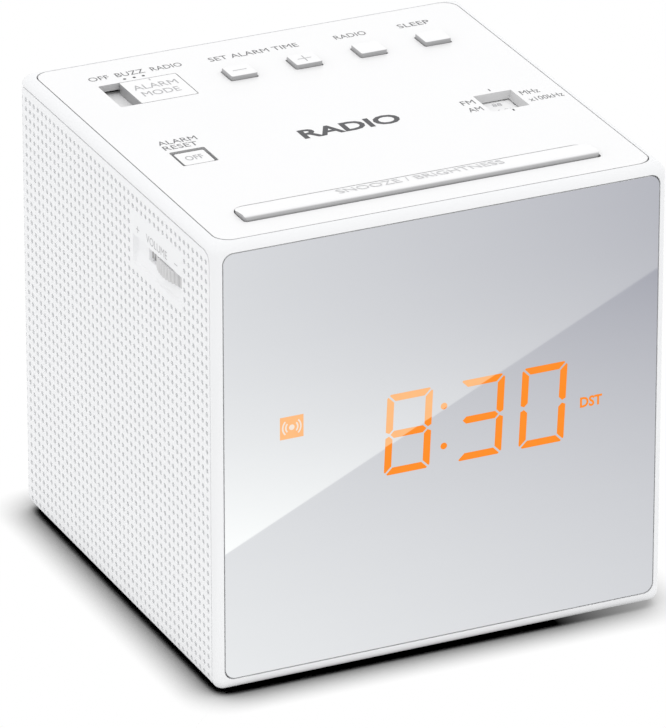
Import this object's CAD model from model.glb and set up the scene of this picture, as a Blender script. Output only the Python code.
import math

import bmesh
import bpy
import numpy as np
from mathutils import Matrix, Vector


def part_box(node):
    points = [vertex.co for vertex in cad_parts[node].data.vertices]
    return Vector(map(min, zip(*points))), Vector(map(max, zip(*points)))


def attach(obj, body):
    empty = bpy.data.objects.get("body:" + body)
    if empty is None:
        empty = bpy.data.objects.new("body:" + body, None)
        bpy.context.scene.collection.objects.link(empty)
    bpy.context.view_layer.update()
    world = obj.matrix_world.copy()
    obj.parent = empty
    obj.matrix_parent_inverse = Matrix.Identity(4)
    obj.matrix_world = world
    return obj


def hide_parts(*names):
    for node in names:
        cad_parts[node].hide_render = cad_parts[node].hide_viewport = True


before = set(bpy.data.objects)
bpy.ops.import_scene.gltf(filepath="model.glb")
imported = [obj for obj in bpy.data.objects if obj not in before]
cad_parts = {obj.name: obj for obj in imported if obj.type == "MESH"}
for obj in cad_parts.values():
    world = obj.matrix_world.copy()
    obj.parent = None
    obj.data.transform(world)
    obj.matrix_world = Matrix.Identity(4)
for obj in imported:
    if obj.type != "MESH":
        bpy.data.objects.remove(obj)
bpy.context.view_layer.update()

MM = 0.001


# ---- The table it stands on, the light and the camera ----
# A white table and an even white room. Close under the cabinet the table goes dark,
# where almost no light reaches it.

def new_material(name):
    """Empty node material with an output node; returns material, nodes, links and output."""
    material = bpy.data.materials.new(name)
    material.use_nodes = True
    nodes = material.node_tree.nodes
    nodes.clear()
    output = nodes.new("ShaderNodeOutputMaterial")
    return material, nodes, material.node_tree.links, output


def math_node(nodes, links, operation, first, second, clamp=False):
    """Math node; each input is a number or a socket."""
    node = nodes.new("ShaderNodeMath")
    node.operation = operation
    node.use_clamp = clamp
    for socket, value in zip(node.inputs, (first, second)):
        if isinstance(value, (int, float)):
            socket.default_value = value
        else:
            links.new(value, socket)
    return node.outputs[0]


def scaled(nodes, links, value, gain, offset):
    """Value times gain plus offset."""
    return math_node(nodes, links, "ADD", math_node(nodes, links, "MULTIPLY", value, gain), offset)


def axis_part(nodes, links, kind, axis):
    """One part, X, Y or Z, of the Object or Normal coordinates."""
    split = nodes.new("ShaderNodeSeparateXYZ")
    links.new(nodes.new("ShaderNodeTexCoord").outputs[kind], split.inputs[0])
    return split.outputs[axis]


COVER_REACH = 9.0
COVER_FLOOR = 0.40
COVER_GAIN = 1.667
COVER_POWER = 0.85
FILL_FROM = 0.028
FILL_PER_METRE = 28.0
FILL_MOST = 0.6


def table_finish():
    """White surface that darkens where the cabinet covers it closely, less so towards a fill on the right.

    With open the share of sky left over a point, its light is ((open - floor) gain) ^ power. Right of
    FILL_FROM a rising part of what is missing is put back, FILL_MOST of it at most.
    """
    material, nodes, links, output = new_material("white_table")
    cover = nodes.new("ShaderNodeAmbientOcclusion")
    cover.samples = 16
    cover.inputs["Distance"].default_value = COVER_REACH * MM
    open_part = math_node(nodes, links, "SUBTRACT", cover.outputs["AO"], COVER_FLOOR)
    open_part = math_node(nodes, links, "MULTIPLY", open_part, COVER_GAIN, clamp=True)
    open_part = math_node(nodes, links, "POWER", open_part, COVER_POWER)
    across = axis_part(nodes, links, "Object", "X")
    from_right = math_node(nodes, links, "SUBTRACT", across, FILL_FROM)
    from_right = math_node(nodes, links, "MULTIPLY", from_right, FILL_PER_METRE, clamp=True)
    from_right = math_node(nodes, links, "MULTIPLY", from_right, FILL_MOST)
    covered = math_node(nodes, links, "SUBTRACT", 1.0, open_part)
    fill = math_node(nodes, links, "MULTIPLY", covered, from_right)
    glow = nodes.new("ShaderNodeEmission")
    links.new(math_node(nodes, links, "ADD", open_part, fill), glow.inputs["Strength"])
    links.new(glow.outputs[0], output.inputs["Surface"])
    return material


def flat_card(name, low, high, level, material):
    """Flat rectangle from corner low to corner high at one level, kept out of the object."""
    mesh = bpy.data.meshes.new(name)
    mesh.from_pydata([(low[0], low[1], level), (high[0], low[1], level),
                      (high[0], high[1], level), (low[0], high[1], level)], [], [(0, 1, 2, 3)])
    card = bpy.data.objects.new(name, mesh)
    bpy.context.collection.objects.link(card)
    mesh.materials.append(material)
    return card


TABLE_HALF = 6.0
flat_card("table", (-TABLE_HALF, -TABLE_HALF), (TABLE_HALF, TABLE_HALF), 0.0, table_finish())

ROOM_LIGHT = 1.2
scene = bpy.context.scene
scene.view_settings.view_transform = "Standard"
room = bpy.data.worlds.new("white_room")
room.use_nodes = True
room_light = room.node_tree.nodes["Background"]
room_light.inputs["Color"].default_value = (1.0, 1.0, 1.0, 1)
room_light.inputs["Strength"].default_value = ROOM_LIGHT
scene.world = room

CAMERA_TURN = math.radians(-24.85)
CAMERA_RISE = math.radians(24.66)
CAMERA_DISTANCE = 1.7293
CAMERA_AIM = np.array([0.0, 0.0, 0.051])
CAMERA_SIDEWAYS = -0.00133
CAMERA_UPWARDS = -0.00528
CAMERA_LENS = 403.9
CAMERA_SENSOR = 36.0

away = np.array([math.sin(CAMERA_TURN) * math.cos(CAMERA_RISE),
                 -math.cos(CAMERA_TURN) * math.cos(CAMERA_RISE), math.sin(CAMERA_RISE)])
rightwards = np.array([math.cos(CAMERA_TURN), math.sin(CAMERA_TURN), 0.0])
upwards = np.cross(away, rightwards)
camera_data = bpy.data.cameras.new("camera")
camera_data.lens = CAMERA_LENS
camera_data.sensor_width = CAMERA_SENSOR
camera_data.clip_start = 0.1
camera_data.clip_end = 20.0
camera = bpy.data.objects.new("camera", camera_data)
camera.location = (CAMERA_AIM + away * CAMERA_DISTANCE
                   + rightwards * CAMERA_SIDEWAYS + upwards * CAMERA_UPWARDS)
camera.rotation_euler = (math.pi / 2 - CAMERA_RISE, 0.0, CAMERA_TURN)
bpy.context.collection.objects.link(camera)
scene.camera = camera


# ---- Cabinet frame and the other plain mouldings ----
# White ABS, injection moulded in a finely spark-eroded tool, so its skin has a very
# fine dull grain. The frame, base plate, rear cover and battery lid all share it.

def new_group(name, inputs, outputs):
    """Node group with float sockets: inputs as (name, default), outputs as names.

    Returns the group, its nodes, its links, its entry and its exit.
    """
    group = bpy.data.node_groups.new(name, "ShaderNodeTree")
    for label, default in inputs:
        socket = group.interface.new_socket(label, in_out="INPUT", socket_type="NodeSocketFloat")
        socket.default_value = default
    for label in outputs:
        group.interface.new_socket(label, in_out="OUTPUT", socket_type="NodeSocketFloat")
    nodes = group.nodes
    return group, nodes, group.links, nodes.new("NodeGroupInput"), nodes.new("NodeGroupOutput")


def place_group(nodes, group, values):
    """The group as a node of a material, with the values of its own that are given by name."""
    node = nodes.new("ShaderNodeGroup")
    node.node_tree = group
    for label, value in values.items():
        node.inputs[label].default_value = value
    return node


def noise(nodes, links, scale, detail, where):
    """Noise texture on the given coordinates; scale is a number or a socket."""
    texture = nodes.new("ShaderNodeTexNoise")
    texture.inputs["Detail"].default_value = detail
    links.new(where, texture.inputs["Vector"])
    if isinstance(scale, (int, float)):
        texture.inputs["Scale"].default_value = scale
    else:
        links.new(scale, texture.inputs["Scale"])
    return texture.outputs["Fac"]


def moulded_grain_group():
    """Fine grain, slow sink marks and faint handling smudges of a moulded surface.

    Height is fine noise plus a tenth of medium noise. Tone is 1 plus a little slow
    noise. Smudge is slow noise squeezed so that only its highest patches remain.
    """
    group, nodes, links, entry, leave = new_group(
        "moulded_grain", [("Grains per metre", 4000.0), ("Tone swing", 0.02)], ["Height", "Tone", "Smudge"])
    place = nodes.new("ShaderNodeTexCoord").outputs["Object"]
    fine = noise(nodes, links, entry.outputs["Grains per metre"], 2.0, place)
    medium = noise(nodes, links, 420.0, 3.0, place)
    slow = noise(nodes, links, 38.0, 2.0, place)
    links.new(scaled(nodes, links, medium, 0.1, fine), leave.inputs["Height"])
    swing = math_node(nodes, links, "SUBTRACT", slow, 0.5)
    links.new(scaled(nodes, links, swing, entry.outputs["Tone swing"], 1.0), leave.inputs["Tone"])
    smudge = math_node(nodes, links, "SUBTRACT", slow, 0.55)
    smudge = math_node(nodes, links, "MULTIPLY", smudge, 4.0, clamp=True)
    links.new(smudge, leave.inputs["Smudge"])
    return group


moulded_grain = moulded_grain_group()


def skin(nodes, links, output, colour, tone, roughness, height, relief):
    """Principled shader of a colour times a tone, with height as bump. relief is (strength, depth in mm)."""
    shader = nodes.new("ShaderNodeBsdfPrincipled")
    tint = nodes.new("ShaderNodeVectorMath")
    tint.operation = "SCALE"
    tint.inputs[0].default_value = colour
    links.new(tone, tint.inputs["Scale"])
    links.new(tint.outputs[0], shader.inputs["Base Color"])
    links.new(roughness, shader.inputs["Roughness"])
    bump = nodes.new("ShaderNodeBump")
    bump.inputs["Strength"].default_value = relief[0]
    bump.inputs["Distance"].default_value = relief[1] * MM
    links.new(height, bump.inputs["Height"])
    links.new(bump.outputs[0], shader.inputs["Normal"])
    links.new(shader.outputs[0], output.inputs["Surface"])
    return shader


SMUDGE_DULLING = 0.08
GRAIN_STRENGTH = 0.5


def moulded_plastic(name, colour, roughness, grains=4000.0, depth=0.004, tone=0.02, specular=0.5):
    """Moulded plastic: colour times the tone, roughness raised by smudges, grain as bump in mm."""
    material, nodes, links, output = new_material(name)
    grain = place_group(nodes, moulded_grain, {"Grains per metre": grains, "Tone swing": tone})
    dulling = scaled(nodes, links, grain.outputs["Smudge"], SMUDGE_DULLING, roughness)
    shader = skin(nodes, links, output, colour, grain.outputs["Tone"], dulling, grain.outputs["Height"],
                  (GRAIN_STRENGTH, depth))
    shader.inputs["Specular IOR Level"].default_value = specular
    return material


def finish(names, material):
    """Gives CAD nodes a material in every slot."""
    for name in names:
        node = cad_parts[name]
        if not node.material_slots:
            node.data.materials.append(material)
        for slot in node.material_slots:
            slot.material = material


case_white = moulded_plastic("case_white", (0.785, 0.79, 0.80), 0.42, depth=0.006)
finish(["cabinet_frame", "base_plate", "rear_cover", "battery_door"], case_white)


# ---- Side grilles ----
# Each side wall is one ABS moulding, 1.5 mm thick, with blind round dimples on a square
# grid. It wraps the back and bottom edges. Round its thumbwheel the wall is plain and
# scooped out.

def mesh_piece(name, vertices, faces, material, body="cabinet", merge=1e-6, smooth_angle=None):
    """Mesh object from arrays, doubles merged, on its CAD body, in its record slot.

    Faces are a list of index arrays, one row per face, each with its own corner count.
    """
    mesh = bpy.data.meshes.new(name)
    loops = np.concatenate([block.ravel() for block in faces])
    counts = np.concatenate([np.full(len(block), block.shape[1]) for block in faces])
    starts = np.concatenate([[0], np.cumsum(counts)[:-1]])
    mesh.vertices.add(len(vertices))
    mesh.vertices.foreach_set("co", np.asarray(vertices, dtype=np.float32).ravel())
    mesh.loops.add(len(loops))
    mesh.loops.foreach_set("vertex_index", loops.astype(np.int32))
    mesh.polygons.add(len(counts))
    mesh.polygons.foreach_set("loop_start", starts.astype(np.int32))
    mesh.update(calc_edges=True)
    mesh.validate()
    work = bmesh.new()
    work.from_mesh(mesh)
    bmesh.ops.remove_doubles(work, verts=work.verts, dist=merge)
    bmesh.ops.dissolve_degenerate(work, edges=work.edges, dist=merge)
    bmesh.ops.recalc_face_normals(work, faces=work.faces)
    work.to_mesh(mesh)
    work.free()
    piece = bpy.data.objects.new(name, mesh)
    bpy.context.collection.objects.link(piece)
    mesh.materials.append(material)
    if smooth_angle:
        mesh.polygons.foreach_set("use_smooth", np.ones(len(mesh.polygons), dtype=bool))
        mesh.set_sharp_from_angle(angle=math.radians(smooth_angle))
    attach(piece, body)
    return piece


def grid_faces(rows, columns, close_rows=False, close_columns=False):
    """Quads of a rows x columns sheet of points stored row by row; closing joins the last to the first."""
    r = np.arange(rows if close_rows else rows - 1)[:, None]
    c = np.arange(columns if close_columns else columns - 1)[None, :]
    r_after, c_after = (r + 1) % rows, (c + 1) % columns
    corners = (r * columns + c, r * columns + c_after, r_after * columns + c_after, r_after * columns + c)
    return np.stack(corners, axis=-1).reshape(-1, 4)


EDGE_R = 2.4
WALL_T = 1.5
PITCH_Y = 2.175
PITCH_Z = 2.125
DIMPLE_R = 0.58
DIMPLE_BEVEL = 0.07
DIMPLE_DEPTH = 0.8
RIM_STEPS = 12
CORE_INSET = 2.5
GRID_INSET = 0.2
TUCK = 2.3
FRAME_BAND = 2.5
WALL_GAP = 0.2
WHEEL_PROUD = 0.8
CHORD_SPARE = 0.3
WHEEL_LOW = 85.45
WHEEL_HIGH = 88.9
SCOOP_LOW = 82.7
SCOOP_DEPTH = 0.9
SCOOP_RUN = 2.1
SCOOP_RISE = 2.7
SCOOP_LEAST = 0.35
SCOOP_EDGE = 0.3
SLOT_RUN = 1.3
SLOT_INSET = 0.2
SLOT_SPARE = 0.02
PLAIN_TOP = 93.0
PATCH_STEPS = 12
DEEPEST = WALL_T + 0.4
WALL_RIM = ((0.15, 0.0), (0.08, 0.02), (0.02, 0.08), (0.0, 0.15), (0.0, 1.4))

half_width = -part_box("cabinet_frame")[0][0] / MM
half_depth = -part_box("cabinet_frame")[0][1] / MM
cabinet_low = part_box("cabinet_frame")[0][2] / MM
cabinet_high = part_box("cabinet_frame")[1][2] / MM
outline_y = (-half_depth + FRAME_BAND, half_depth - WALL_GAP)
outline_z = (cabinet_low + WALL_GAP, cabinet_high - FRAME_BAND)


def edge_roll(y, z):
    """How far the wall's face has rolled inwards, in mm, past the tangents of its back and bottom edges.

    With a and b the distances past the two tangents, it is r - sqrt(r^2 - a^2 - b^2).
    """
    a = np.clip(y - (half_depth - EDGE_R), 0, None)
    b = np.clip((cabinet_low + EDGE_R) - z, 0, None)
    return EDGE_R - np.sqrt(np.clip(EDGE_R ** 2 - a ** 2 - b ** 2, 0.0, None))


def tuck(y, z):
    """Pulls points in at the rounded corners: none stays further than TUCK from the core rectangle."""
    core_y = np.clip(y, outline_y[0] + CORE_INSET, outline_y[1] - CORE_INSET)
    core_z = np.clip(z, outline_z[0] + CORE_INSET, outline_z[1] - CORE_INSET)
    away_from_core = np.hypot(y - core_y, z - core_z)
    share = TUCK / np.maximum(away_from_core, TUCK)
    return core_y + (y - core_y) * share, core_z + (z - core_z) * share


def square_ring(steps):
    """Points round a unit square, as many on each side, starting at a corner."""
    side = np.arange(steps // 4) / (steps // 4)
    zero = np.zeros_like(side)
    y = np.concatenate([side, zero + 1, 1 - side, zero]) - 0.5
    z = np.concatenate([zero, side, zero + 1, 1 - side]) - 0.5
    return y, z


def dimple_cells(y0, z0, columns, rows, plain):
    """Square cells with a blind round dimple in each, except where plain is True.

    Rings of points run from the cell's square edge to the dimple's rim, down its wall
    and to a floor ring; the floor is one face. Returns (y, z, depth) points and faces.
    """
    i, j = np.meshgrid(np.arange(columns), np.arange(rows), indexing="ij")
    keep = ~plain
    centre_y = (y0 + (i[keep] + 0.5) * PITCH_Y)[:, None, None]
    centre_z = (z0 + (j[keep] + 0.5) * PITCH_Z)[:, None, None]
    square_y, square_z = square_ring(RIM_STEPS)
    angle = np.arctan2(square_z, square_y)
    round_y, round_z = np.cos(angle), np.sin(angle)
    round_r = np.array([DIMPLE_R + DIMPLE_BEVEL, DIMPLE_R, DIMPLE_R])[:, None]
    ring_y = np.concatenate([square_y[None] * PITCH_Y, round_y * round_r])
    ring_z = np.concatenate([square_z[None] * PITCH_Z, round_z * round_r])
    depth = np.array([0.0, 0.0, DIMPLE_BEVEL, DIMPLE_DEPTH])[:, None] + np.zeros(RIM_STEPS)
    cell_y, cell_z = tuck(centre_y + ring_y, centre_z + ring_z)
    points = np.stack(np.broadcast_arrays(cell_y, cell_z, depth[None]), axis=-1)
    cells = points.shape[0]
    offset = np.arange(cells)[:, None, None] * (4 * RIM_STEPS)
    walls = (grid_faces(4, RIM_STEPS, close_columns=True)[None] + offset).reshape(-1, 4)
    floors = (3 * RIM_STEPS + np.arange(RIM_STEPS))[None] + offset[:, 0]
    return points.reshape(-1, 3), [walls, floors]


def plain_patch(y0, z0, columns, rows, wheel_y, half_chord):
    """Fine sheet over the plain cells, sunk by the scoop and open where the wheel stands.

    With t the distance inside the scoop's outline over SCOOP_EDGE, and rise the height over its lower
    edge over SCOOP_RISE, both clamped to 0 to 1, the depth is the scoop's depth times 3t^2 - 2t^3 times
    a share that grows with rise from SCOOP_LEAST to 1. Quads inside the wheel's slot are left out.
    """
    step = PITCH_Y / PATCH_STEPS
    y = y0 + np.arange(columns * PATCH_STEPS + 1) * step
    z = z0 + np.arange(rows * PATCH_STEPS + 1) * PITCH_Z / PATCH_STEPS
    yy, zz = np.meshgrid(y, z, indexing="ij")
    front, back = wheel_y - half_chord, wheel_y + SCOOP_RUN * half_chord
    rising = np.clip((zz - SCOOP_LOW) / SCOOP_RISE, 0, 1)
    inside = np.minimum.reduce([yy - front, back - yy, zz - SCOOP_LOW, WHEEL_HIGH - zz])
    ease = np.clip(inside / SCOOP_EDGE, 0, 1)
    depth = SCOOP_DEPTH * ease * ease * (3 - 2 * ease) * (SCOOP_LEAST + (1 - SCOOP_LEAST) * rising)
    slot_back = wheel_y + SLOT_RUN * half_chord
    well = np.minimum.reduce([yy - front - SLOT_INSET, slot_back - yy, zz - WHEEL_LOW,
                              WHEEL_HIGH - SLOT_INSET - zz])
    depth = np.where(well > -SLOT_SPARE, WALL_T, depth)
    points = np.stack([yy, zz, depth], axis=-1).reshape(-1, 3)
    quads = grid_faces(len(y), len(z))
    return points, quads[(well.reshape(-1)[quads] < step * 0.9).any(axis=1)]


def border_strip(y0, z0, columns, rows):
    """Strip from the dimple grid's edge out to the wall's rounded outline, then down its rim.

    A grid-edge point p is pushed from the core rectangle's nearest point c along p - c to
    the outline at CORE_INSET from c; the rim then rounds over and drops down the wall's edge.
    """
    per_cell = RIM_STEPS // 4
    y1, z1 = y0 + columns * PITCH_Y, z0 + rows * PITCH_Z
    step_y, step_z = PITCH_Y / per_cell, PITCH_Z / per_cell
    along_y = y0 + np.arange(columns * per_cell) * PITCH_Y / per_cell
    along_z = z0 + np.arange(rows * per_cell) * PITCH_Z / per_cell
    edge_y = np.concatenate([along_y, along_z * 0 + y1, along_y[::-1] + step_y, along_z * 0 + y0])
    edge_z = np.concatenate([along_y * 0 + z0, along_z, along_y * 0 + z1, along_z[::-1] + step_z])
    edge_y, edge_z = tuck(edge_y, edge_z)
    core_low = np.array([outline_y[0] + CORE_INSET, outline_z[0] + CORE_INSET])
    core_high = np.array([outline_y[1] - CORE_INSET, outline_z[1] - CORE_INSET])
    edge = np.stack([edge_y, edge_z], axis=-1)
    core = np.clip(edge, core_low, core_high)
    outwards = (edge - core) / np.linalg.norm(edge - core, axis=1, keepdims=True)
    reach, drop = np.array(WALL_RIM).T
    rings = core[None] + outwards[None] * (CORE_INSET - reach)[:, None, None]
    rings = np.concatenate([edge[None], rings])
    depth = np.concatenate([[0.0], drop])[:, None] + np.zeros(len(edge))
    points = np.concatenate([rings, depth[..., None]], axis=-1)
    points = points.transpose(1, 0, 2)
    return points.reshape(-1, 3), grid_faces(len(edge), len(drop) + 1, close_rows=True)


def side_wall(name, side, wheel, node):
    """One whole side wall from its cells, plain patch and border, placed on side -1 or +1."""
    wheel_low, wheel_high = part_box(wheel)
    wheel_y = (wheel_low[1] + wheel_high[1]) / 2 / MM
    wheel_r = (wheel_high[1] - wheel_low[1]) / 2 / MM
    sunk = wheel_r - WHEEL_PROUD - WALL_T
    half_chord = math.sqrt(wheel_r ** 2 - sunk ** 2) + CHORD_SPARE
    columns = int((outline_y[1] - outline_y[0] - 2 * GRID_INSET) / PITCH_Y)
    rows = int((outline_z[1] - outline_z[0] - 2 * GRID_INSET) / PITCH_Z)
    y0 = (outline_y[0] + outline_y[1] - columns * PITCH_Y) / 2
    z0 = (outline_z[0] + outline_z[1] - rows * PITCH_Z) / 2
    first = int((wheel_y - half_chord - y0) / PITCH_Y)
    last = int(math.ceil((wheel_y + SCOOP_RUN * half_chord - y0) / PITCH_Y))
    bottom = int((SCOOP_LOW - z0) / PITCH_Z)
    top = int(math.ceil((PLAIN_TOP - z0) / PITCH_Z))
    plain = np.zeros((columns, rows), dtype=bool)
    plain[first:last, bottom:top] = True
    cells, cell_faces = dimple_cells(y0, z0, columns, rows, plain)
    patch, patch_quads = plain_patch(y0 + first * PITCH_Y, z0 + bottom * PITCH_Z, last - first, top - bottom,
                                     wheel_y, half_chord)
    border, border_quads = border_strip(y0, z0, columns, rows)
    flat = np.concatenate([cells, patch, border])
    depth = flat[:, 2] + edge_roll(flat[:, 0], flat[:, 1])
    x = side * (half_width - np.minimum(depth, DEEPEST))
    points = np.stack([x, flat[:, 0], flat[:, 1]], axis=-1) * MM
    faces = cell_faces + [patch_quads + len(cells), border_quads + len(cells) + len(patch)]
    wall = mesh_piece(name, points, faces, grille_white, merge=2e-6, smooth_angle=35)
    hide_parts(node)


grille_white = moulded_plastic("grille_white", (0.80, 0.805, 0.815), 0.5, depth=0.004)
side_wall("left_side_wall", -1, "volume_wheel", "left_grille")
side_wall("right_side_wall", 1, "tuning_wheel", "right_grille")


# ---- Half-mirror front ----
# Clear acrylic panel, flush in the frame, with a thin vacuum-deposited metal film on its
# back face. It mirrors the room and lets the display shine through.

MIRROR_TINT = (0.80, 0.805, 0.815)
FRONT_FACING = -0.9
WIPE_STRETCH = 6.0
WIPE_HAZE = 0.03
WIPE_TONE = 0.012
MIRROR_WAVE = (0.2, 0.0004)


def stretched(nodes, links, place, scale):
    """Coordinates scaled along each axis: noise on them is stretched where the scale is under 1."""
    stretch = nodes.new("ShaderNodeMapping")
    stretch.inputs["Scale"].default_value = scale
    links.new(place, stretch.inputs["Vector"])
    return stretch.outputs[0]


def mirror_material():
    """Metal film over the front face, pale sawn edges, faint wiping streaks in gloss and flatness.

    Streaks are noise squeezed along z. They add to the roughness and swing the tone about 1.
    """
    material, nodes, links, output = new_material("half_mirror")
    place = nodes.new("ShaderNodeTexCoord").outputs["Object"]
    streak = noise(nodes, links, 35.0, 4.0, stretched(nodes, links, place, (1.0, 1.0, WIPE_STRETCH)))
    haze = scaled(nodes, links, streak, WIPE_HAZE, 0.005)
    tone = scaled(nodes, links, streak, WIPE_TONE, 1.0 - WIPE_TONE / 2)
    wave = noise(nodes, links, 60.0, 1.0, place)
    shader = skin(nodes, links, output, MIRROR_TINT, tone, haze, wave, MIRROR_WAVE)
    facing = axis_part(nodes, links, "Normal", "Y")
    links.new(math_node(nodes, links, "LESS_THAN", facing, FRONT_FACING), shader.inputs["Metallic"])
    return material


finish(["mirror_panel"], mirror_material())


# ---- What the mirror shows of the room ----
# A studio reflector card lies on the table in front of the cabinet, pale on its far left
# part and greyer beyond a slanting edge. Only shiny surfaces see it.

def reflector_finish():
    """Card tone as a function of where on the mirror it is seen.

    A card point (X, Y) is mirrored at height z = -(Y - front) / SEEN_RISE on the mirror and at
    x = X - SEEN_DRIFT z. On either side of the slanting edge its tone is linear in x, with a bend in z.
    """
    material, nodes, links, output = new_material("reflector_card")
    run = math_node(nodes, links, "ADD", axis_part(nodes, links, "Object", "Y"), half_depth * MM)
    z = math_node(nodes, links, "MULTIPLY", run, -1 / MM / SEEN_RISE)
    card_x = math_node(nodes, links, "MULTIPLY", axis_part(nodes, links, "Object", "X"), 1 / MM)
    x = scaled(nodes, links, z, -SEEN_DRIFT, card_x)

    def plane(base, by_x, by_z, by_zz=0.0):
        """base + by_x x + (by_z + by_zz z) z."""
        slope = scaled(nodes, links, z, by_zz, by_z)
        return scaled(nodes, links, z, slope, scaled(nodes, links, x, by_x, base))

    edge_share = math_node(nodes, links, "MULTIPLY", plane(*CARD_EDGE), EDGE_SHARPNESS, clamp=True)
    grey = plane(*GREY_TONE)
    paler = math_node(nodes, links, "SUBTRACT", plane(*PALE_TONE), grey)
    tone = scaled(nodes, links, edge_share, paler, grey)
    tint = nodes.new("ShaderNodeCombineColor")
    bluer = math_node(nodes, links, "SUBTRACT", WHITE_TONE, tone)
    links.new(tone, tint.inputs["Red"])
    links.new(math_node(nodes, links, "MULTIPLY", tone, GREEN_GAIN), tint.inputs["Green"])
    links.new(scaled(nodes, links, bluer, BLUE_GAIN, tone), tint.inputs["Blue"])
    glow = nodes.new("ShaderNodeEmission")
    links.new(tint.outputs[0], glow.inputs["Color"])
    links.new(glow.outputs[0], output.inputs["Surface"])
    return material


SEEN_RISE = 1.976
SEEN_DRIFT = 0.905
CARD_EDGE = (-52.8, -0.4475, 1.0)
PALE_TONE = (1.50, -0.0024, -0.0146, 0.00007)
GREY_TONE = (0.93, -0.0019, -0.0022, -0.000025)
EDGE_SHARPNESS = 4.0
WHITE_TONE = 1.2
GREEN_GAIN = 1.012
BLUE_GAIN = 0.09
CARD_LOW = (-0.12, -0.262)
CARD_HIGH = (0.26, -half_depth * MM - 0.0002)
CARD_LEVEL = 0.0005
reflector = flat_card("reflector_card", CARD_LOW, CARD_HIGH, CARD_LEVEL, reflector_finish())
reflector.visible_camera = False
reflector.visible_diffuse = False
reflector.visible_transmission = False
reflector.visible_shadow = False


# ---- Lit digits, colon and marks ----
# The light bars of 8:30 as they show in the mirror film: the film is etched away over each
# bar, so light comes out at the panel's face. The alarm square and DST are lit the same way.

def segment_outline(name):
    """Outline of one bar of a digit about its middle, mitred and blunted at the corners.

    The top bar, the upper right bar and the middle bar are given; the others mirror them.
    """
    w, h, t, g, c = DIGIT_W / 2, DIGIT_H / 2, BAR_W, BAR_GAP, BAR_BLUNT
    top = [(-w + g + c, h), (w - g - c, h), (w - g - c / 2, h - c / 2), (w - g - t, h - t),
           (-w + g + t, h - t), (-w + g + c / 2, h - c / 2)]
    right = [(w, h - g - c), (w - c / 2, h - g - c / 2), (w - t, h - g - t), (w - t, t / 2 + g),
             (w - t / 2, g), (w, g + t / 4)]
    middle = [(-w + t / 2 + g, 0), (-w + t + g, t / 2), (w - t - g, t / 2),
              (w - t / 2 - g, 0), (w - t - g, -t / 2), (-w + t + g, -t / 2)]
    source, flip_x, flip_z = {"a": (top, 1, 1), "d": (top, 1, -1), "g": (middle, 1, 1), "b": (right, 1, 1),
                              "c": (right, 1, -1), "e": (right, -1, -1), "f": (right, -1, 1)}[name]
    return np.array(source) * (flip_x, flip_z)


def slab(outline, low, high, axis):
    """Plate between two planes across an axis from an outline in the other two: two ends and a wall."""
    count = len(outline)
    points = np.concatenate([np.insert(outline, axis, level, axis=1) for level in (low, high)])
    ring = np.arange(count)
    return points, [grid_faces(2, count, close_columns=True), ring[None, ::-1], ring[None] + count]


def joined(parts):
    """One set of points and faces from several (points, faces) parts."""
    points, faces, start = [], [], 0
    for part_points, part_faces in parts:
        points.append(part_points)
        faces += [block + start for block in part_faces]
        start += len(part_points)
    return np.concatenate(points), faces


def round_outline(x, z, radius, count=24):
    """Regular many-sided outline about a centre."""
    turn = np.arange(count) * 2 * math.pi / count
    return np.stack([x + radius * np.cos(turn), z + radius * np.sin(turn)], axis=-1)


def arc_outline(x, z, radius, width, middle, half_angle, count=10):
    """Band of the given width along part of a circle, its middle at an angle in degrees."""
    turn = np.radians(np.linspace(middle - half_angle, middle + half_angle, count))
    ring = np.stack([np.cos(turn), np.sin(turn)], axis=-1)
    return np.concatenate([ring * (radius + width / 2), ring[::-1] * (radius - width / 2)]) + (x, z)


SLANT_EDGE = (-55.894, -0.4638)
FILM_IOR = 4.0


def slanting_glare_group():
    """Glare of the room over the lit marks, and the faint mottle of the light behind them.

    Glare is the height above a slanting edge, z + slope x + offset, times 4 per mm, clamped.
    Level is 0.95 plus a tenth of fine noise.
    """
    group, nodes, links, entry, leave = new_group(
        "slanting_glare", [("Offset", SLANT_EDGE[0] * MM), ("Slope", SLANT_EDGE[1]), ("Sharpness", 4000.0)],
        ["Glare", "Level"])
    place = nodes.new("ShaderNodeTexCoord").outputs["Object"]
    mottle = noise(nodes, links, 900.0, 2.0, place)
    links.new(scaled(nodes, links, mottle, 0.1, 0.95), leave.inputs["Level"])
    across, up = (axis_part(nodes, links, "Object", axis) for axis in "XZ")
    height = scaled(nodes, links, across, entry.outputs["Slope"], up)
    height = math_node(nodes, links, "ADD", height, entry.outputs["Offset"])
    glare = math_node(nodes, links, "MULTIPLY", height, entry.outputs["Sharpness"], clamp=True)
    links.new(glare, leave.inputs["Glare"])
    return group


slanting_glare = slanting_glare_group()


def two_colours(nodes, links, share, first, second):
    """The first colour where the share is 0, the second where it is 1."""
    blend = nodes.new("ShaderNodeMix")
    blend.data_type = "VECTOR"
    links.new(share, blend.inputs["Factor"])
    for vector_input, colour in zip((blend.inputs[4], blend.inputs[5]), (first, second)):
        vector_input.default_value = colour
    return blend.outputs[1]


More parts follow.
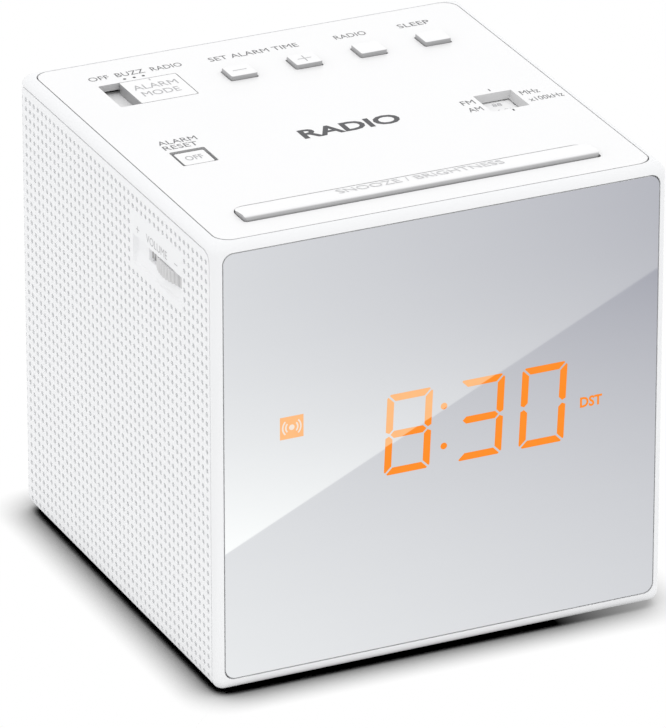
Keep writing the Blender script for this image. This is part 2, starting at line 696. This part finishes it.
def lit_material(name, colour, veiled, coat):
    """Light coming through the film: colour below the room's slanting glare, veiled colour in it."""
    material, nodes, links, output = new_material(name)
    shader = nodes.new("ShaderNodeBsdfPrincipled")
    shader.inputs["Base Color"].default_value = (0.02, 0.02, 0.02, 1)
    shader.inputs["Roughness"].default_value = 0.4
    shader.inputs["Specular IOR Level"].default_value = 0.0
    shader.inputs["Coat Weight"].default_value = coat
    shader.inputs["Coat Roughness"].default_value = 0.03
    shader.inputs["Coat IOR"].default_value = FILM_IOR
    light = place_group(nodes, slanting_glare, {})
    tint = nodes.new("ShaderNodeVectorMath")
    tint.operation = "SCALE"
    links.new(two_colours(nodes, links, light.outputs["Glare"], colour, veiled), tint.inputs[0])
    links.new(light.outputs["Level"], tint.inputs["Scale"])
    links.new(tint.outputs[0], shader.inputs["Emission Color"])
    shader.inputs["Emission Strength"].default_value = 1.0
    links.new(shader.outputs[0], output.inputs["Surface"])
    return material


def lettering(text, low, high, weight=0.0):
    """Flat letters in a plain face, fitted into the rectangle low to high: points (across, up) and faces.

    The letters are filled by the font's own outline; weight thickens them, as a share of the height.
    """
    curve = bpy.data.curves.new("lettering", "FONT")
    curve.body = text
    curve.resolution_u = 3
    curve.offset = weight
    holder = bpy.data.objects.new("lettering", curve)
    bpy.context.collection.objects.link(holder)
    bpy.context.view_layer.update()
    mesh = bpy.data.meshes.new_from_object(holder.evaluated_get(bpy.context.evaluated_depsgraph_get()))
    points = np.empty(len(mesh.vertices) * 3, dtype=np.float32)
    mesh.vertices.foreach_get("co", points)
    points = points.reshape(-1, 3)[:, :2].astype(float)
    counts = np.empty(len(mesh.polygons), dtype=np.int32)
    mesh.polygons.foreach_get("loop_total", counts)
    loops = np.empty(len(mesh.loops), dtype=np.int32)
    mesh.loops.foreach_get("vertex_index", loops)
    starts = np.concatenate([[0], np.cumsum(counts)[:-1]])
    faces = [loops[starts[counts == sides][:, None] + np.arange(sides)] for sides in np.unique(counts)]
    bpy.data.objects.remove(holder)
    bpy.data.curves.remove(curve)
    bpy.data.meshes.remove(mesh)
    span = points.max(axis=0) - points.min(axis=0)
    return (points - points.min(axis=0)) / span * np.subtract(high, low) + low, faces


DIGIT_X = (-7.8, 8.7, 23.1)
DIGIT_LIT = ("abcdefg", "abcdg", "abcdef")
DIGIT_W = 10.4
DIGIT_H = 18.2
DIGIT_MIDDLE = 52.5
DIGIT_LEAN = 0.045
BAR_W = 1.6
BAR_GAP = 0.3
BAR_BLUNT = 0.5
mirror_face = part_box("mirror_panel")[0][1] / MM
LIT_PROUD = 0.02

COLON = ((0.3, 56.7), (0.3, 47.6))
COLON_R = 0.75

lit_outlines = []
for centre, lit in zip(DIGIT_X, DIGIT_LIT):
    for bar in lit:
        outline = segment_outline(bar)
        lean = np.column_stack([outline[:, 1] * DIGIT_LEAN, np.zeros(len(outline))])
        lit_outlines.append(outline + lean + (centre, DIGIT_MIDDLE))
lit_outlines += [round_outline(x, z, COLON_R) for x, z in COLON]
points, faces = joined([slab(outline, mirror_face - LIT_PROUD, mirror_face, 1) for outline in lit_outlines])
lit_orange = lit_material("lit_orange", (1.0, 0.262, 0.006), (1.0, 0.50, 0.21), 0.01)
mesh_piece("lit_digits", points * MM, faces, lit_orange)

ALARM_MARK = ((-36.9, -31.6), (56.2, 61.2))
WAVE_DOT_R = 0.62
WAVE_ARCS = ((1.35, 42.0), (2.05, 45.0))
WAVE_W = 0.34
mark_x, mark_z = sum(ALARM_MARK[0]) / 2, sum(ALARM_MARK[1]) / 2
square = np.array([(ALARM_MARK[0][i], ALARM_MARK[1][j]) for i, j in ((0, 0), (1, 0), (1, 1), (0, 1))])
points, faces = slab(square, mirror_face - LIT_PROUD, mirror_face, 1)
mesh_piece("lit_alarm_square", points * MM, faces, lit_orange)
waves = [round_outline(mark_x, mark_z, WAVE_DOT_R)]
for radius, opening in WAVE_ARCS:
    waves += [arc_outline(mark_x, mark_z, radius, WAVE_W, middle, opening) for middle in (0, 180)]
wave_back, wave_front = mirror_face - LIT_PROUD, mirror_face - 2 * LIT_PROUD
points, faces = joined([slab(wave, wave_front, wave_back, 1) for wave in waves])
lit_pale = lit_material("lit_pale", (0.86, 0.66, 0.50), (0.90, 0.78, 0.68), 0.05)
mesh_piece("lit_alarm_waves", points * MM, faces, lit_pale)


def ink_piece(name, inks, material, plane, body="cabinet"):
    """Printed marks as one mesh: inks are (points, faces) in a plane, which plane puts in space, in mm."""
    points, faces = joined(inks)
    mesh_piece(name, plane(points) * MM, faces, material, body, merge=1e-7)


def upright(axis, level, flip=1):
    """Plane for marks on a wall across the axis at a level in mm; flip -1 for walls read from behind."""
    return lambda points: np.insert(points * (flip, 1), axis, level, axis=1)


ink_piece("lit_summer_time", [lettering("DST", (31.7, 50.1), (36.8, 52.5), 0.03)], lit_orange,
          upright(1, mirror_face - LIT_PROUD))


# ---- Top panel and its printed legends ----
# Flat white ABS plate let into the frame. Its legends are pad printed in grey ink, and
# the type name of the set in dark grey.

def looking_up_group():
    """Share of a face that looks up: its normal's z less a floor, times a steepness, clamped."""
    group, nodes, links, entry, leave = new_group(
        "looking_up", [("Floor", 0.6), ("Steepness", 4.0)], ["Share"])
    up = axis_part(nodes, links, "Normal", "Z")
    share = math_node(nodes, links, "SUBTRACT", up, entry.outputs["Floor"])
    share = math_node(nodes, links, "MULTIPLY", share, entry.outputs["Steepness"], clamp=True)
    links.new(share, leave.inputs["Share"])
    return group


looking_up = looking_up_group()


def polished_top(name, top_colour, wall_colour):
    """Polished top over tool-marked walls: the top colour where a face looks up, else a greyer one."""
    material = moulded_plastic(name, top_colour, 0.36, depth=0.002)
    nodes, links = material.node_tree.nodes, material.node_tree.links
    tint = next(node for node in nodes if node.type == "VECT_MATH")
    share = place_group(nodes, looking_up, {}).outputs["Share"]
    links.new(two_colours(nodes, links, share, wall_colour, top_colour), tint.inputs[0])
    return material


finish(["top_panel"], polished_top("top_white", (0.80, 0.80, 0.805), (0.52, 0.52, 0.525)))
INK_PROUD = 0.02


def ink(name, colour):
    """Matt printing ink: grey with a fine speckle where it lies thin."""
    return moulded_plastic(name, colour, 0.65, grains=9000.0, depth=0.002, tone=0.15, specular=0.2)


def above(node):
    """Plane for marks just above a CAD node's top."""
    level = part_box(node)[1][2] / MM + INK_PROUD
    return lambda points: np.insert(points, 2, level, axis=1)


def spot(x, y, radius):
    """One filled round mark."""
    outline = round_outline(x, y, radius, 16)
    return outline, [np.arange(len(outline))[None]]


def stroke(low, high):
    """One filled rectangle."""
    corners = [(low[0], low[1]), (high[0], low[1]), (high[0], high[1]), (low[0], high[1])]
    return np.array(corners, dtype=float), [np.arange(4)[None]]


grey_ink = ink("grey_ink", (0.17, 0.17, 0.175))
TOP_LEGENDS = [("OFF", (-39.7, 39.3), (-35.1, 41.4)), ("BUZZ", (-33.5, 39.3), (-27.0, 41.4)),
               ("RADIO", (-25.4, 39.3), (-18.3, 41.4)), ("SET ALARM TIME", (-12.1, 38.8), (8.6, 40.9)),
               ("RADIO", (17.3, 38.8), (24.6, 40.9)), ("SLEEP", (32.3, 38.8), (39.7, 40.9)),
               ("ALARM", (-40.3, 1.7), (-31.6, 3.8)), ("RESET", (-40.2, -1.1), (-32.5, 1.0)),
               ("FM", (26.2, -5.4), (29.2, -3.2)), ("AM", (26.0, -9.3), (29.2, -7.1)),
               ("MHz", (40.0, -5.4), (44.2, -3.2)), ("x100kHz", (40.1, -9.3), (48.0, -7.2))]
inks = [lettering(text, low, high) for text, low, high in TOP_LEGENDS]
inks.append(stroke((34.65, -0.6), (34.95, 0.5)))
ink_piece("grey_legends", inks, grey_ink, above("cabinet_frame"))

DOT_R = 0.36
inks = [spot(x, 37.8, DOT_R) for x in (-32.5, -30.3, -28.2)]
inks.append(stroke((34.6, -12.2), (35.0, -11.3)))
ink_piece("dark_marks", inks, ink("dark_ink", (0.075, 0.075, 0.08)), above("cabinet_frame"))
ink_piece("type_lettering", [lettering("RADIO", (-11.3, -7.7), (11.3, -2.9), 0.03)],
          ink("type_ink", (0.10, 0.10, 0.105)), above("cabinet_frame"))


# ---- Keys, reset button and mode slider ----
# Separate ABS caps, moulded with a small radius round the top and pressed on their
# switches. Their marks are pad printed in a pale grey.

key_white = polished_top("key_white", (0.81, 0.81, 0.815), (0.36, 0.36, 0.365))
finish(["alarm_minus_button", "alarm_plus_button", "radio_button",
        "sleep_button", "alarm_reset_button", "alarm_mode_slider"], key_white)


def middle_of(node):
    """Middle of a CAD node's plan, in mm."""
    return np.mean(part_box(node), axis=0)[:2] / MM


pale_ink = ink("pale_ink", (0.42, 0.42, 0.43))
MARK_REACH = 1.6
MARK_HALF = 0.13
minus, plus = middle_of("alarm_minus_button"), middle_of("alarm_plus_button")
wide, high = np.array([MARK_REACH, MARK_HALF]), np.array([MARK_HALF, MARK_REACH])
plus_bars = [stroke(plus - wide, plus + wide), stroke(plus + (-MARK_HALF, MARK_HALF), plus + high),
             stroke(plus - high, plus + (MARK_HALF, -MARK_HALF))]
ink_piece("minus_mark", [stroke(minus - wide, minus + wide)], pale_ink, above("alarm_minus_button"),
          body="alarm_minus_key")
ink_piece("plus_mark", plus_bars, pale_ink, above("alarm_plus_button"), body="alarm_plus_key")
ink_piece("reset_off_mark", [lettering("OFF", (-38.2, -7.9), (-34.2, -5.6), 0.01)], pale_ink,
          above("alarm_reset_button"), body="alarm_reset_key")
slider_inks = [lettering("ALARM", (-33.0, 31.0), (-22.9, 33.5)),
               lettering("MODE", (-32.4, 27.2), (-23.9, 29.7)), stroke((-27.95, 34.9), (-27.65, 35.9))]
ink_piece("mode_legend", slider_inks, pale_ink, above("alarm_mode_slider"), body="alarm_mode")


# ---- Snooze bar ----
# One long ABS bar across the front of the panel, rounded over its front edge and falling
# back flush with the panel. Its legend is printed in the same pale ink.

finish(["snooze_bar"], polished_top("snooze_white", (0.81, 0.81, 0.815), (0.40, 0.40, 0.405)))
SNOOZE_PROFILE = ((-40.0, 103.0), (-37.0, 102.62), (-34.0, 102.0))
SNOOZE_INK_PROUD = 2.5 * INK_PROUD
snooze_crown = np.polyfit(*zip(*SNOOZE_PROFILE), 2)


def on_snooze(points):
    """Plane coordinates to the bar's curved top, a parabola through three points of its profile."""
    return np.column_stack([points, np.polyval(snooze_crown, points[:, 1]) + SNOOZE_INK_PROUD])


ink_piece("snooze_legend", [lettering("SNOOZE / BRIGHTNESS", (-17.5, -38.1), (20.2, -35.0))],
          ink("faint_ink", (0.56, 0.56, 0.57)), on_snooze, body="snooze")


# ---- Thumbwheels and the marks on the side walls ----
# White ABS wheels with moulded ribs, on edge in the side walls. The walls carry faint
# printed marks above them.

def ribbed_wheel(name, node, body, hub_r):
    """Ring with ribs: the rim radius dips by the rib depth times 1 - |cos(n turn / 2)|.

    The section is a closed loop from the hub out along the bottom, up the ribbed rim with
    rolled corners, and back along the top; it is carried round the axis.
    """
    low, high = (np.array(corner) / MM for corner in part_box(node))
    middle = (low + high) / 2
    radius = (high[1] - low[1]) / 2
    ribs = int(2 * math.pi * radius / RIB_PITCH)
    turn = np.arange(ribs * STEPS_PER_RIB) * 2 * math.pi / (ribs * STEPS_PER_RIB)
    dip = RIB_DEPTH * (1 - np.abs(np.cos(turn * ribs / 2)))
    inset, rise = np.array(RIM_PROFILE).T
    half_r = np.concatenate([[hub_r], radius - inset])
    half_z = np.concatenate([[0.0], rise])
    section_r = np.concatenate([half_r, half_r[::-1]])
    section_z = np.concatenate([low[2] + half_z, high[2] - half_z[::-1]])
    ribbed = np.array([0, 0, 0, 1, 1, 1, 1, 0, 0, 0])
    r = section_r[:, None] - ribbed[:, None] * dip[None]
    points = np.stack([middle[0] + r * np.cos(turn), middle[1] + r * np.sin(turn),
                       np.broadcast_to(section_z[:, None], r.shape)], axis=-1)
    quads = grid_faces(*r.shape, close_rows=True, close_columns=True)
    wheel = mesh_piece(name, points.reshape(-1, 3) * MM, [quads], wheel_white, body,
                       smooth_angle=30)
    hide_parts(node)


RIB_PITCH = 1.25
RIB_DEPTH = 0.6
STEPS_PER_RIB = 8
RIM_PROFILE = ((2.2, 0.0), (1.2, 0.0), (0.15, 0.05), (0.0, 0.25))
wheel_white = moulded_plastic("wheel_white", (0.60, 0.60, 0.605), 0.4, depth=0.003)
ribbed_wheel("volume_ribbed_wheel", "volume_wheel", "volume", 2.5)
ribbed_wheel("tuning_ribbed_wheel", "tuning_wheel", "tuning", 3.0)


SHROUD_GAP = 0.75
SHROUD_T = 0.6
SHROUD_HALF_ANGLE = 18.0
SHROUD_OVERHANG = 0.3


def wheel_shroud(name, node, side):
    """Curved rib behind the wall that closes the slot beyond the wheel: an arc band, extruded upwards."""
    low, high = (np.array(corner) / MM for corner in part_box(node))
    middle = (low + high) / 2
    radius = (high[1] - low[1]) / 2 + SHROUD_GAP
    reach = half_width - WALL_T - abs(middle[0])
    bearing = math.degrees(math.acos(reach / radius)) + SHROUD_HALF_ANGLE
    outline = arc_outline(middle[0], middle[1], radius, SHROUD_T, bearing if side > 0 else 180 - bearing,
                          SHROUD_HALF_ANGLE)
    points, faces = slab(outline, low[2] - SHROUD_OVERHANG, high[2] + SHROUD_OVERHANG, 2)
    mesh_piece(name, points * MM, faces, wheel_white)


wheel_shroud("volume_shroud", "volume_wheel", -1)
wheel_shroud("tuning_shroud", "tuning_wheel", 1)
wall_ink = ink("wall_ink", (0.48, 0.48, 0.49))
wall_plane = half_width + INK_PROUD
volume_marks = [lettering("VOLUME", (16.6, 89.8), (27.3, 91.6)),
                stroke((11.5, 90.6), (13.1, 90.82)), stroke((12.19, 90.82), (12.41, 91.5)),
                stroke((12.19, 89.92), (12.41, 90.6)), stroke((30.9, 90.5), (32.5, 90.72))]
ink_piece("volume_legend", volume_marks, wall_ink, upright(0, -wall_plane, -1))
ink_piece("tuning_legend", [lettering("TUNING", (-17.8, 89.8), (-7.2, 91.6))], wall_ink,
          upright(0, wall_plane))


# ---- Tuning dial ----
# Thin white ABS disc under the window. It is printed with the FM scale round its rim and
# the AM scale inside it, and turns with the tuning wheel.

finish(["tuning_dial"], moulded_plastic("dial_white", (0.82, 0.82, 0.825), 0.45, depth=0.002))
dial_x, dial_y = middle_of("tuning_dial")
FM_SCALE = ("88", "92", "96", "100", "104", "108")
AM_SCALE = ("6.0", "7.0", "8.5", "10", "13", "16")
SCALE_STEP = 31.0
FM_RADIUS, FM_HEIGHT = 8.3, 1.5
AM_RADIUS, AM_HEIGHT = 5.2, 1.3
LETTER_HALF_WIDTH = 0.36


def dial_number(text, place, radius, height):
    """A number printed on the dial: upright, then turned clockwise by its place about the axis."""
    half = LETTER_HALF_WIDTH * height * len(text)
    points, faces = lettering(text, (-half, radius - height / 2), (half, radius + height / 2), 0.01)
    turn = math.radians(-SCALE_STEP * place)
    c, s = math.cos(turn), math.sin(turn)
    return points @ np.array([[c, s], [-s, c]]) + (dial_x, dial_y), faces


numbers = [dial_number(text, i, FM_RADIUS, FM_HEIGHT) for i, text in enumerate(FM_SCALE)]
numbers += [dial_number(text, i, AM_RADIUS, AM_HEIGHT) for i, text in enumerate(AM_SCALE)]
ink_piece("dial_scales", numbers, pale_ink, above("tuning_dial"), body="tuning")


# ---- Outside fittings: feet, screws, bushes ----
# Rubber feet, zinc-plated steel screws, and black polyamide bushes for the mains cord and
# the aerial wire, which aren't fitted here.

def worn_metal_group():
    """Drawn or pressed metal: fine lines along z, blotches of dulling and of tone.

    Height is noise stretched twenty times along z. Roughness is medium noise times the
    dulling. Tone is 1.1 less a fifth of slow noise.
    """
    group, nodes, links, entry, leave = new_group(
        "worn_metal", [("Lines per metre", 2500.0), ("Dulling", 0.2)], ["Height", "Tone", "Roughness"])
    place = nodes.new("ShaderNodeTexCoord").outputs["Object"]
    along_z = stretched(nodes, links, place, (1.0, 1.0, 0.05))
    links.new(noise(nodes, links, entry.outputs["Lines per metre"], 2.0, along_z), leave.inputs["Height"])
    medium = noise(nodes, links, 300.0, 3.0, place)
    dulling = math_node(nodes, links, "MULTIPLY", medium, entry.outputs["Dulling"])
    links.new(dulling, leave.inputs["Roughness"])
    slow = noise(nodes, links, 90.0, 2.0, place)
    links.new(scaled(nodes, links, slow, -0.2, 1.1), leave.inputs["Tone"])
    return group


worn_metal = worn_metal_group()


BRUSHED_STRENGTH = 0.4


def metal(name, colour, roughness, dulling=0.2, lines=2500.0, depth=0.004):
    """Metal of a colour: tone, added roughness and fine lines from the worn_metal group."""
    material, nodes, links, output = new_material(name)
    wear = place_group(nodes, worn_metal, {"Lines per metre": lines, "Dulling": dulling})
    dulled = math_node(nodes, links, "ADD", wear.outputs["Roughness"], roughness)
    shader = skin(nodes, links, output, colour, wear.outputs["Tone"], dulled, wear.outputs["Height"],
                  (BRUSHED_STRENGTH, depth))
    shader.inputs["Metallic"].default_value = 1.0
    return material


rubber = moulded_plastic("rubber", (0.055, 0.055, 0.057), 0.75, grains=2500.0, depth=0.02, tone=0.2)
finish(["rubber_feet"], rubber)
bush_black = moulded_plastic("bush_black", (0.03, 0.03, 0.032), 0.5, depth=0.008, tone=0.1)
finish(["mains_gland", "aerial_gland"], bush_black)
finish(["case_screws", "battery_door_screw"], metal("zinc_plate", (0.72, 0.72, 0.70), 0.28))


# ---- Display module and the film behind the mirror ----
# Black film with a clear window, a black housing with a pocket for each lit bar, and
# milky amber light bars in the pockets.

black_film = moulded_plastic("black_film", (0.012, 0.012, 0.013), 0.55, grains=6000.0, depth=0.001, tone=0.1)
finish(["light_mask"], black_film)
inside_black = moulded_plastic("inside_black", (0.035, 0.035, 0.037), 0.55, depth=0.006, tone=0.12)
finish(["display_module", "display_bracket", "volume_spindle", "volume_pot", "tuning_shaft",
        "tuning_capacitor", "mode_switch_lever", "snooze_plungers", "tact_switches", "cell_holder",
        "rod_holders", "board_parts"], inside_black)
light_bars = moulded_plastic("light_bars", (0.85, 0.42, 0.12), 0.5, grains=7000.0, depth=0.002, tone=0.1)
finish(["display_segments"], light_bars)


# ---- Circuit boards ----
# Single-sided phenolic paper boards, tan brown, with the fibres just showing, screwed to
# posts with zinc-plated screws.

def pressed_fibre_group():
    """Fibres of pressed paper: the sum of two noises, each stretched along one board direction."""
    group, nodes, links, entry, leave = new_group("pressed_fibre", [("Fibres per metre", 1800.0)], ["Weave"])
    place = nodes.new("ShaderNodeTexCoord").outputs["Object"]
    along = [stretched(nodes, links, place, scale) for scale in ((1.0, 0.12, 1.0), (0.12, 1.0, 1.0))]
    strands = [noise(nodes, links, entry.outputs["Fibres per metre"], 3.0, where) for where in along]
    links.new(math_node(nodes, links, "ADD", *strands), leave.inputs["Weave"])
    return group


pressed_fibre = pressed_fibre_group()
FIBRE_RELIEF = (0.4, 0.01)


def fibre_board(name, colour):
    """Pressed paper in resin: the fibres shade the colour, dull it and stand up a little."""
    material, nodes, links, output = new_material(name)
    weave = place_group(nodes, pressed_fibre, {}).outputs["Weave"]
    level = scaled(nodes, links, weave, 0.35, 0.65)
    dulling = scaled(nodes, links, weave, 0.15, 0.4)
    skin(nodes, links, output, colour, level, dulling, weave, FIBRE_RELIEF)
    return material


phenolic = fibre_board("phenolic_board", (0.42, 0.26, 0.12))
finish(["rear_board", "display_board", "key_board", "main_board"], phenolic)
finish(["board_screws", "mode_switch_body", "transformer_bracket", "coin_cell", "speaker_clamps"],
       metal("bright_steel", (0.62, 0.61, 0.59), 0.3))
finish(["cell_contacts"], metal("nickel", (0.74, 0.71, 0.65), 0.22))
finish(["heatsink"], metal("rolled_aluminium", (0.80, 0.81, 0.82), 0.33, lines=1500.0))
wire_sleeve = moulded_plastic("wire_sleeve", (0.42, 0.05, 0.04), 0.42, grains=3000.0, depth=0.01, tone=0.15)
finish(["inner_wiring"], wire_sleeve)
finish(["mains_fuse"], moulded_plastic("fuse_glass", (0.80, 0.84, 0.84), 0.12, depth=0.001))


# ---- Aerial rod, speaker and transformer ----
# Sintered ferrite rod with enamelled coils, a pressed-steel speaker with a paper cone on
# a felt gasket, and a laminated iron transformer with copper windings.

finish(["ferrite_rod", "speaker_magnet"],
       moulded_plastic("sintered_ferrite", (0.05, 0.05, 0.054), 0.6, grains=2200.0, depth=0.02, tone=0.2))
copper = metal("enamelled_copper", (0.72, 0.30, 0.12), 0.3, lines=4000.0, depth=0.02)
finish(["aerial_coils", "transformer_windings"], copper)
finish(["speaker_basket"], metal("painted_basket", (0.35, 0.35, 0.36), 0.45))
finish(["speaker_cone"], fibre_board("cone_paper", (0.055, 0.053, 0.05)))
finish(["speaker_gasket"], fibre_board("gasket_felt", (0.09, 0.09, 0.092)))
finish(["transformer_core"], metal("laminated_iron", (0.33, 0.31, 0.30), 0.5, lines=1200.0, depth=0.03))


# ---- Rear buttons and rear legends ----
# Two small round ABS buttons in the rear cover, for setting the clock and for summer
# time, with their names pad printed above them.

finish(["time_set_button", "summer_time_button"],
       moulded_plastic("rear_key_white", (0.60, 0.60, 0.605), 0.4, depth=0.003))
rear_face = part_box("rear_cover")[1][1] / MM
rear_legends = [lettering("TIME SET", (3.2, 66.0), (12.8, 67.8)),
                lettering("DST", (-10.2, 66.0), (-5.8, 67.8)),
                lettering("FM WIRE AERIAL", (-38.0, 88.0), (-20.0, 89.8))]
ink_piece("rear_legends", rear_legends, grey_ink, upright(1, rear_face + INK_PROUD, -1))
